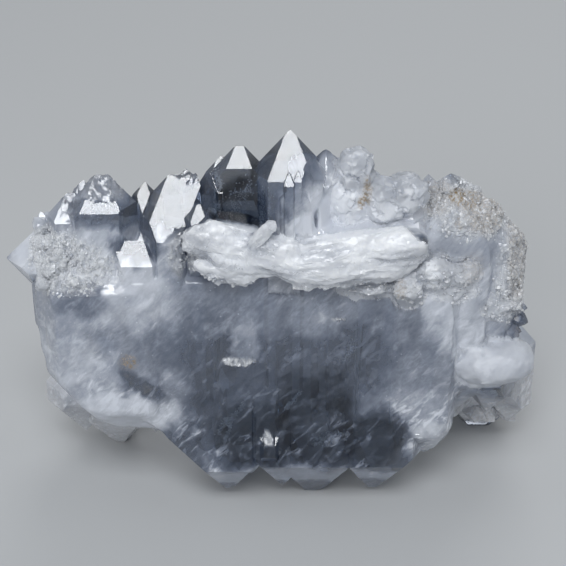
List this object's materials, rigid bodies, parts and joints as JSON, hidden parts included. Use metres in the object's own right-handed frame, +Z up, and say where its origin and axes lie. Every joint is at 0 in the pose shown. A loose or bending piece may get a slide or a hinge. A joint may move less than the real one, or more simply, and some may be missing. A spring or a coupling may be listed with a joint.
{
  "type": "faden quartz cluster",
  "caption": "Plate-like cluster of clear and milky quartz crystals grown side by side, with a frosted cross ridge, pointed terminations along both long edges and druse on its shoulders.",
  "frame": {"origin": "middle of the bounding box's footprint, on the ground plane that the cluster rests on", "axes": "+X along the plate's length, +Y to the back (the broad front face looks along -Y), +Z up"},
  "size_m": [0.0604, 0.0226, 0.0465],
  "materials": {
    "quartz": "clear to milky crystal, glossy faces with frosted areas"
  },
  "bodies": {
    "root": {"quartz_cluster": "quartz"}
  },
  "joints": []
}
